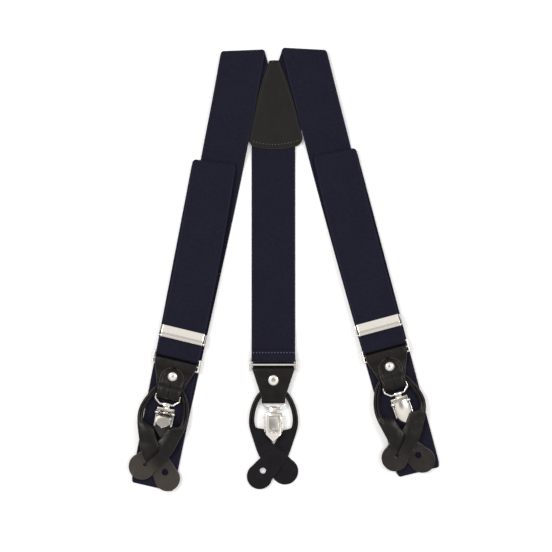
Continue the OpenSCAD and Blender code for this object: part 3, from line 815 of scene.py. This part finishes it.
def tab(side):
    e = ENDS[side]
    back_z = -WRAP_R
    in_z = back_z + HIDE_T + 0.1
    low = back_z + FOLD_R
    front_z = back_z + 2 * (HIDE_T + 0.1)
    top = -BAR_GAP if e.flipped else MIDDLE_BAR_Y
    plan = [(-37, 9.2), (-29.5, 9.9), (-9, 16.6), (top + 2.5, 17.2)]
    path = ([(RIVET_Y - 4.8, in_z), (-14.2, in_z), (-BAR_GAP - 0.9, WRAP_R)]
            + arc((top, 0), WRAP_R, 85, -85, 10) + [(-BAR_GAP - 0.9, back_z), (-20, back_z),
                                                         (FOLD_Y + 1.5, back_z), (FOLD_Y, back_z)]
            + arc((FOLD_Y, low), FOLD_R, -100, -260, 12)
            + [(-31, 3.1), (-28.4, 3.16), (-26.8, 2.95), (-25.4, 2.35), (-24, 1.75),
               (-22.4, 1.32), (-20, 1.2), (-17, front_z), (-13, front_z + 0.1), (-9.75, 2.9)])
    p = rounded(path, 0.6)
    run = np.r_[0, np.cumsum(np.linalg.norm(np.diff(p, axis=0), axis=1))]
    low_at = run[int(np.argmin(p[:, 0]))]

    def half(y, s):
        wide = lookup(y, plan)
        if s < 6:
            wide *= 0.9 + 0.1 * smooth(s, 0, 6)
        if s <= low_at:
            return wide
        if y > -19.5:
            return math.sqrt(max(0.35, 100 - (y + 19.5) ** 2))
        return lookup(y, [(-37, 9.2), (-29.5, 9.4), (-19.5, 10)])

    def groove(u, y, s):
        if s < low_at:
            return 0.1 if s < 34 and abs(abs(u) - 0.91) < 0.01 else 0.0
        deep = 0.2 if abs(abs(u) - 0.84) < 0.01 else 0.0
        if abs(u) < 0.01:
            deep = 0.5 * smooth(y, -34.5, -32) * (1 - smooth(y, -21.5, -20.6))
        return deep + 0.12 * abs(u) ** 3

    verts, faces, edge = leather_rows(path, half, groove)
    make(side + "_tab_leather", verts, faces, tab_body(side), TAB, [side + "_tab"], place(e),
         edge=edge, sharp=70)


def gap_shade_strip():
    """Dark strip behind the back ring's middle bar: painted shade for the narrow gaps beside the bar."""
    section = ((-2.35, 1.3), (-7.0, 1.3), (-7.0, 1.75), (-2.35, 1.75))
    verts = [(x, y, z) for x in (-16.4, 16.4) for y, z in section]
    make("back_ring_gap_shade", verts, tube_faces(2, 4), "back_ring", GAP_SHADE, [], place(ENDS["back"]),
         sharp=30)


def rivet(side):
    """Domed cap with a rolled rim in front, and a shallow dome behind."""
    e = ENDS[side]
    seat = -WRAP_R + 2.5 * HIDE_T + 0.25
    cap = [(0, 1.4), (1.0, 1.36), (2.0, 1.2), (2.9, 0.93), (3.45, 0.62), (3.75, 0.3), (3.9, 0.12),
           (3.86, 0.0), (3.0, 0.02), (1.4, 0.0), (1.4, -3.4), (0, -3.4)]
    rear = [(0, -0.62), (1.2, -0.6), (2.3, -0.5), (3.2, -0.34), (3.85, -0.12), (4.1, 0.12), (4.05, 0.3),
            (3.7, 0.34), (0, 0.34)]
    for name, prof, z, node in (("_rivet_dome", cap, seat, "_rivet_cap"),
                                ("_rivet_rear", rear, -WRAP_R - HIDE_T / 2 - 0.36, "_rivet_back")):
        m = 48
        verts = []
        for r, h in prof:
            for k in range(m):
                g = 2 * math.pi * k / m
                verts.append((max(r, 0.02) * math.cos(g), RIVET_Y + max(r, 0.02) * math.sin(g), z + h))
        make(side + name, verts, tube_faces(len(prof), m), tab_body(side), RIVET,
             [side + node], place(e), sharp=42)


# -------------------- button loops
# rows along the cord, round the knee and down the side, before the flat strap begins
CORD_ROWS, KNEE_ROWS, SIDE_ROWS = 6, 4, 22
STRAP_FROM = CORD_ROWS + KNEE_ROWS + SIDE_ROWS
# a row of a strand: place, heading, height, half width, thickness, and how far it is rolled or lobe
Station = namedtuple("Station", "at dir z half thick roll lobe")
STRAND_U = [-1, -0.985, -0.95, -0.88, -0.78, -0.65, -0.5, -0.34, -0.2, -0.1, 0,
            0.1, 0.2, 0.34, 0.5, 0.65, 0.78, 0.88, 0.95, 0.985, 1]


def strand(side, s, lobe, heights, r):
    """Stations of one half of the loop, from the middle of the cord to the lobe's end."""
    out = []

    def add(c, d, z, w, thick, roll, lobe_at):
        out.append(Station(np.array([c[0], c[1]]), np.array(d), z, w, thick, roll, lobe_at))

    start, knee = (np.array([s * x, y]) for x, y in ((CORD_END, CORD_Y), KNEE_AT))
    out_at = np.array([SIDE_X[side][(s + 1) // 2], SIDE_Y])
    for i in range(CORD_ROWS):
        add((s * CORD_END * i / CORD_ROWS, CORD_Y), (s, 0), CORD_Z, 1.6, 2 * CORD_R - 0.1, 1, 0)
    for i in range(KNEE_ROWS):
        t = i / KNEE_ROWS
        way = (start, s * 90, knee, s * KNEE_TURN, t)
        add(bezier(*way), heading(*way), CORD_Z, 1.6 + 0.45 * t, 2 * CORD_R - 0.15, 1, 0)
    for i in range(SIDE_ROWS):
        t = i / SIDE_ROWS
        way = (knee, s * KNEE_TURN, out_at, 0, t)
        add(bezier(*way), heading(*way), CORD_Z, 2.1 + 0.15 * t, 2 * CORD_R - 0.2, 1, 0)
    wide = STRAP_WIDE + [[1, 2 * r - 0.6]]
    far = float(np.linalg.norm(lobe - out_at)) * 1.03
    n = 56
    for i in range(n + 1):
        t = i / n
        w = lookup(t, wide) / 2
        back = (1 - t) * far
        if back < r:
            w = max(w, math.sqrt(r * r - back * back) - 0.25 * back / r)
        c, d = bezier(out_at, 0, lobe, -s * LOBE_TURN, t), heading(out_at, 0, lobe, -s * LOBE_TURN, t)
        # the strap widens to the inside first
        c = c - beside(d) * s * (max(0, w - 2.3) * 0.9 * (1 - smooth(t, 0.2, 0.6)))
        add(c, d, lookup(t, heights), w,
            LOOP_T + (2 * CORD_R - 0.2 - LOOP_T) * (1 - smooth(t, 0.04, 0.22)), 1 - smooth(t, 0.05, 0.22),
            smooth(t, 0.7, 1))
    d = turn(-s * LOBE_TURN)
    for i in range(1, 16):
        g = math.pi / 2 * i / 15
        thin = 0.35 + 0.65 * min(1, (16 - i) / 3)
        add(lobe + d * r * math.sin(g), d, heights[-1][1], max(0.12, r * math.cos(g)), LOOP_T * thin, 0, 1)
    return out


def strand_mesh(rows, bulge, wear_and_sheen):
    """The skin of a strand: a rolled double ridge near the cord, a flat strap with eased edges further on."""
    m = len(STRAND_U)
    tops, lows, edge = [], [], []
    for k, (c, d, z, w, thick, roll, lobe) in enumerate(rows):
        h = np.array([-d[1], d[0], 0.0])
        top, low = [], []
        for u in STRAND_U:
            flat = min(1.0, (1 - abs(u)) * w / 0.4)
            flat = math.sqrt(max(0, 1 - (1 - flat) ** 2))
            tube = math.sqrt(max(0, 1 - u * u)) * (1 - 0.5 * math.exp(-(u / 0.17) ** 2))
            t = thick / 2 * (roll * tube + (1 - roll) * flat)
            dome = bulge(k, u) * (1 - roll)
            at = np.array([c[0], c[1], z + dome]) + h * (u * w)
            top.append(at + np.array([0, 0, t]))
            low.append(at - np.array([0, 0, t * (0.92 + 0.08 * (1 - roll))]))
            # edges take the wear colour; the lobes take a share of it, set per end, as a painted sheen
            edge.append((0.9 - 0.4 * roll) if flat < 0.9 else wear_and_sheen * lobe)
        tops.append(top)
        lows.append(low)
        edge.extend(edge[-m:][::-1])
    return np.array(tops), np.array(lows), edge


def button_loop(side):
    e = ENDS[side]
    body = side + "_loop"
    up = -1 if e.flipped else 1
    slit = np.add(SLIT_LOBE, BACK_SLIT_SHIFT if e.flipped else (0, e.loop_shift))
    thru = np.add(THRU_LOBE, (0, e.loop_shift))
    right = strand(side, 1, slit, [[0, CORD_Z], [0.18, 2.4], [0.55, 2.4], [0.85, e.slit_z], [1, e.slit_z]],
                   SLIT_LOBE_R)
    left = strand(side, -1, thru, [[0, CORD_Z], [0.18, 2.4], [0.45, 3.85], [0.64, 3.4], [0.82, e.thru_z],
                                   [1, e.thru_z]], THRU_LOBE_R)
    # the slit runs along the right strand's middle, and ends a little past the lobe's centre
    along = turn(-LOBE_TURN)
    across = beside(along)
    slit_a = slit - along * 21.5 + across * 0.5

    def swell_right(k, u):
        c, d, _, w = right[k][:4]
        p = c + beside(d) * (u * w)
        t = float((p - slit_a) @ along)
        off = float((p - slit_a) @ across)
        lip = 0.35 * math.exp(-(off / 2.2) ** 2) * smooth(t, -3, 2) * (1 - smooth(t, 17.5, 20.5))
        wave = 0.45 * noise.noise(Vector((p[0] / 9, p[1] / 9, 3.1 + up)))
        hole = 0.9 * math.exp(-((t - 19.6) ** 2 + off ** 2) / 0.9)
        cup = 0.9 * (1 - right[k].lobe) * (0.45 - u * u)
        return lip + wave + cup - hole

    def swell_left(k, u):
        c, d, _, w = left[k][:4]
        p = c + beside(d) * (u * w)
        wave = 0.4 * noise.noise(Vector((p[0] / 8, p[1] / 8, 7.7 + up)))
        cup = 0.9 * (1 - left[k].lobe) * (0.45 - u * u)
        return wave * (1 - 0.5 * left[k].lobe) + cup

    def top_of_slit(c):
        k = min(range(STRAP_FROM, len(right)), key=lambda i: float(np.linalg.norm(right[i].at - c)))
        station, d, z, w = right[k][:4]
        u = float((c - station) @ beside(d)) / w
        return z + swell_right(k, u) + LOOP_T / 2 - 0.12

    # a dark tube along the slit: painted shade for its opening
    if not e.flipped:
        slit_shade(side, slit_a, along, across, top_of_slit)
    for name, rows, swell in (("right_half", right, swell_right), ("left_half", left, swell_left)):
        tops, lows, edge = strand_mesh(rows, swell, LOBE_PAINTED_SHEEN[side])
        if name == "left_half":
            for grid in (tops, lows):
                weave(grid, rows, slit_a, along, across, e.thru_z)
        verts, faces = grid_shell(tops, lows)
        cols = 2 * len(STRAND_U)
        # the flat strap's underside is suede
        mats = [int(cols // 2 <= f[0] % cols < cols - 1 and f[0] // cols > STRAP_FROM + 2) for f in faces]
        o = make(side + "_loop_" + name, verts, faces, body, [LOOP, SUEDE], [], loop_place(e),
                 face_mats=mats, edge=edge, sharp=75)
        if name == "left_half":
            hole = thru + np.array([-2.6, 4.6])
            drill(o, loop_place(e) @ Vector((hole[0], hole[1], e.thru_z)), HOLE_R)
        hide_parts(side + "_button_loop")


def weave(grid, rows, slit_a, along, across, under):
    """Lifts a strand over the other before the slit, and lowers it under the other after the slit."""
    for i, r in enumerate(rows):
        if r.roll > 0.5 or i < STRAP_FROM - 1:
            continue
        for p in grid[i]:
            share = smooth(float((p[:2] - slit_a) @ across), -2.6, 2.6)
            over = 3.75 - 0.03 * max(0, float((p[:2] - slit_a) @ along))
            want = over * (1 - share) + under * share
            p[2] += (want - r.z) * smooth(i, STRAP_FROM + 4, STRAP_FROM + 18)


def slit_shade(side, slit_a, along, across, height):
    """Dark tube along the slit, with a rounded end, on the lobe it is cut in: painted shade for the slit's
    opening.
    """
    path = [slit_a + along * (2 + i * 0.6) - across * 0.15 for i in range(28)]
    end = slit_a + along * 19.2
    path += [end + (along * math.sin(g) - across * math.cos(g)) * 0.9 for g in np.linspace(0.2, math.pi, 9)]
    path += [end + across * 0.9 - along * (i * 0.6) for i in range(1, 4)]
    verts, m = [], 8
    for i, c in enumerate(path):
        d = trend(path, i)
        r = 0.48 * min(1, 0.3 + 0.35 * min(i, len(path) - 1 - i))
        for k in range(m):
            g = 2 * math.pi * k / m
            q = c + beside(d) * (r * math.cos(g))
            verts.append((*q, height(c) + r * math.sin(g)))
    make(side + "_loop_slit_shade", verts, tube_faces(len(path), m), side + "_loop", GAP_SHADE,
         [], loop_place(ENDS[side]), sharp=60)


def drill(o, at, r):
    """A round hole straight through along Z."""
    me = bpy.data.meshes.new("drill")
    bm = bmesh.new()
    bmesh.ops.create_cone(bm, cap_ends=True, segments=48, radius1=r * MM, radius2=r * MM, depth=6 * MM,
                          matrix=Matrix.Translation(at * MM))
    bm.to_mesh(me)
    bm.free()
    tool = put_in("drill", me)
    b = o.modifiers.new("hole", "BOOLEAN")
    b.operation, b.object, b.solver = "DIFFERENCE", tool, "EXACT"
    settle(o)
    bpy.data.objects.remove(tool)
    o.data.shade_smooth()
    o.data.set_sharp_from_angle(angle=math.radians(40))


# -------------------- metal
def eased(node, name, body, mat, width):
    """The CAD solid with its edges eased, as pressed metal has them."""
    me = NODES[node].data.copy()
    me.name = name
    bm = bmesh.new()
    bm.from_mesh(me)
    bmesh.ops.remove_doubles(bm, verts=bm.verts, dist=2e-6)
    bmesh.ops.dissolve_limit(bm, angle_limit=math.radians(1.5), verts=bm.verts, edges=bm.edges)
    bm.to_mesh(me)
    bm.free()
    me.materials.clear()
    me.materials.append(mat)
    for p in me.polygons:
        p.material_index = 0
    me.shade_smooth()
    o = put_in(name, me)
    b = o.modifiers.new("ease", "BEVEL")
    b.width, b.segments, b.limit_method, b.angle_limit = width * MM, 2, "ANGLE", math.radians(40)
    b.use_clamp_overlap = True
    b.harden_normals = True
    settle(o)
    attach(o, body)
    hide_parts(node)
    return o


def adjuster(side):
    e = ENDS[side]
    at = place(e) @ Matrix.Translation((0, 17, SLIDE_Z - e.z))
    body = side + "_adjuster"
    eased(side + "_adjuster_frame", side + "_adjuster_back", body, PLATE, 0.18)
    # the cover: flat plate, crease, and an edge rolled round the pin
    top = rounded([(5.2, 1.3), (5.3, 1.7), (4.8, 2.0), (3, 2.3), (0, 2.82), (-1.1, 2.98), (-1.55, 2.95),
                   (-1.85, 2.66), (-2.1, 2.8), (-2.6, 3.05), (-3.4, 3.25), (-4.25, 2.98), (-4.62, 2.3),
                   (-4.6, 1.6), (-4.1, 1.0), (-3.4, 0.85), (-2.7, 1.05), (-2.2, 1.6), (-1.6, 2.05), (2, 2.1),
                   (4.2, 2.05), (4.7, 1.6), (4.95, 1.45)], 0.22, 2)
    m = len(top)
    xs = [-17.2, -17.1, -16.9, -16.5, -15.8, -8, 0, 8, 15.8, 16.5, 16.9, 17.1, 17.2]
    verts = []
    centre = top.mean(axis=0)
    for x in xs:
        ease = max(0, abs(x) - 16.5) / 0.7
        for y, z in top:
            verts.append((x, y - (y - centre[0]) * 0.05 * ease ** 2, z - 0.28 * ease ** 2 * (z > 1.9)))
    make(side + "_adjuster_plate", verts, tube_faces(len(xs), m), side + "_adjuster_cover", PLATE,
         [side + "_adjuster_lever"], at, sharp=48)


LEVER_VIEW = [(PIN_Y + 1.0, 2.0), (PIN_Y - 1, 2.15), (-50, 2.3), (-54, 2.15), (-59, 1.25), (-63.8, 0.15)]
LEVER_PLAN = [(-63.8, 0.5), (-61.5, 3.8), (-59, 6), (-50.4, 6), (-49.8, 5.5), (-40, 5.5)]


def lever(side):
    """Shield cover of the clip: crowned across, with a blunt point and a barrel round the pin."""
    e = ENDS[side]
    p = rounded(LEVER_VIEW, 0.45)
    cols = [-1, -0.97, -0.88, -0.7, -0.45, -0.2, 0, 0.2, 0.45, 0.7, 0.88, 0.97, 1]
    tops, lows = [], []
    for i in range(len(p)):
        d = trend(p, i)
        n = np.array([0, d[1], -d[0]])
        w = lookup(p[i][0], LEVER_PLAN)
        top, low = [], []
        for u in cols:
            ease = 0.14 * (abs(u) > 0.95)
            crown = -1.05 * (u * u) * (w / 6) ** 2 + 0.15
            c = np.array([u * w, *p[i]]) + np.array([0, 0, crown])
            top.append(c + n * (0.32 - ease))
            low.append(c - n * (0.32 - ease))
        tops.append(top)
        lows.append(low)
    verts, faces = grid_shell(np.array(tops), np.array(lows))
    verts = verts.tolist()
    base, m = len(verts), 24
    xs = [-5.6, -5.45, 5.45, 5.6]
    for x in xs:
        r = 1.5 if abs(x) < 5.5 else 1.3
        for k in range(m):
            g = 2 * math.pi * k / m
            verts.append((x, PIN_Y + r * math.cos(g), PIN_Z + r * math.sin(g)))
    faces += [tuple(base + x for x in f) for f in tube_faces(4, m)]
    make(side + "_clip_cover", verts, faces, side + "_lever", PLATE, [side + "_clip_lever"],
         clip_place(e) @ about_pin(e.lever), sharp=40)


def pad(side):
    """Rubber pad that fills the jaw and wraps its point, with a ribbed grip below."""
    half = [(5.85, -51.8), (5.85, -57.3), (7.4, -58.3), (7.4, -58.9), (0.7, -66.1)]
    line = np.array(half + [(-x, y) for x, y in half[::-1]])
    centre = np.array([0, -57.5])
    verts = []
    for inset, z in ((0.5, -2.15), (0.12, -2.1), (0, -1.9), (0, -0.62), (0.1, -0.46), (0.45, -0.4)):
        for q in line:
            d = unit(centre - q)
            verts.append((*(q + d * inset), z))
    n = len(line)
    make(side + "_jaw_rubber", verts, tube_faces(6, n), side + "_jaw", RUBBER,
         [side + "_jaw_pad"], clip_place(ENDS[side]) @ about_pin(ENDS[side].lever * JAW_PER_LEVER), sharp=50)


def metal(side):
    for node, name, body in (("_clip_plate", "_clip_rear", "_clip"), ("_clip_jaw", "_clip_rails", "_jaw")):
        eased(side + node, side + name, side + body, PLATE, 0.14)
    # the bail stands a little inside the loop's sides
    me = NODES[side + "_bail"].data.copy()
    at = clip_place(ENDS[side])
    at.translation *= MM
    me.transform(at @ Matrix.Diagonal((BAIL_NARROW, 1, 1, 1)) @ at.inverted())
    me.materials.clear()
    me.materials.append(WIRE)
    me.shade_smooth()
    me.set_sharp_from_angle(angle=math.radians(50))
    bail = put_in(side + "_bail_wire", me)
    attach(bail, side + "_bail")
    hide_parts(side + "_bail")
    pad(side)
    for node in ("_ring", "_clip_pin"):
        repaint(side + node, WIRE)


def repaint(node, mat):
    me = NODES[node].data
    if not me.materials:
        me.materials.append(mat)
    for i in range(len(me.materials)):
        me.materials[i] = mat


# -------------------- stage, light and camera
# name, place in metres, width and power of each area light
LIGHTS = (("key", (-0.6, 0.24, 1.08), 0.42, 6.0), ("side", (0.62, 0.1, 1.08), 0.3, 3.5))
# brightness of the studio by the share of height: dim straight overhead, where a camera hangs,
# with a bright ring of soft light round it
STUDIO = ((0.0, 0.42), (0.5, 0.55), (0.8, 0.85), (0.93, 1.06), (0.973, 0.96), (0.992, 0.42), (1.0, 0.34))
FLOOR_DROP = 0.0002
# the width that the camera sees, and what it looks straight down at, in metres
FIELD, CAMERA_X, CAMERA_Y = 0.4416, -0.00697, -0.00496


def stage():
    me = bpy.data.meshes.new("floor")
    me.from_pydata([(-3, -3, 0), (3, -3, 0), (3, 3, 0), (-3, 3, 0)], [], [(0, 1, 2, 3)])
    floor = put_in("floor", me)
    floor.location.z = -FLOOR_DROP
    p = Paint("pale_floor", 0.9, Base_Color=(0.9, 0.9, 0.9, 1), Specular_IOR_Level=0.0,
              Emission_Color=(1, 1, 1, 1), Emission_Strength=0.17)
    me.materials.append(p.m)
    world = bpy.data.worlds.new("studio")
    bpy.context.scene.world = world
    world.use_nodes = True
    n, l = world.node_tree.nodes, world.node_tree.links
    at, split, ramp = n.new("ShaderNodeTexCoord"), n.new("ShaderNodeSeparateXYZ"), n.new("ShaderNodeValToRGB")
    l.new(at.outputs["Generated"], split.inputs[0])
    l.new(split.outputs["Z"], ramp.inputs[0])
    fill(ramp.color_ramp, [(z, (v, v * 0.98, v * 0.955)) for z, v in STUDIO])
    l.new(ramp.outputs[0], n["Background"].inputs["Color"])
    n["Background"].inputs["Strength"].default_value = 1.0
    for name, at, size, power in LIGHTS:
        light = bpy.data.lights.new(name, "AREA")
        light.shape, light.size, light.energy = "SQUARE", size, power
        o = put_in(name, light)
        o.location = at
        o.rotation_euler = (-Vector(at)).to_track_quat("-Z", "Y").to_euler()


def camera():
    """Straight down, from far enough that the ends aren't drawn apart."""
    cam = bpy.data.cameras.new("camera")
    cam.sensor_width, cam.lens = 36, 100
    o = put_in("camera", cam)
    o.location = (CAMERA_X, CAMERA_Y, FIELD * cam.lens / cam.sensor_width + 0.004)
    cam.clip_end = 20
    bpy.context.scene.camera = o


bpy.context.scene.view_settings.view_transform = "Standard"
camera()
stage()

patch()
sheets = {}
for s in ("left", "right"):
    sheets[s + "_webbing"] = front_strap(s)
    sheets[s + "_webbing_tail"] = tail(s)
    adjuster(s)
    repaint(s + "_adjuster_pin", WIRE)
sheets["back_webbing"] = back_strap()
hem_stitches()
# dark strip by the back ring's middle bar: painted shade in the gaps beside it
gap_shade_strip()
for s in ENDS:
    tab(s)
    rivet(s)
    lever(s)
    metal(s)
    button_loop(s)

for name, (piece, run) in sheets.items():
    print("sheet", name, round(run))
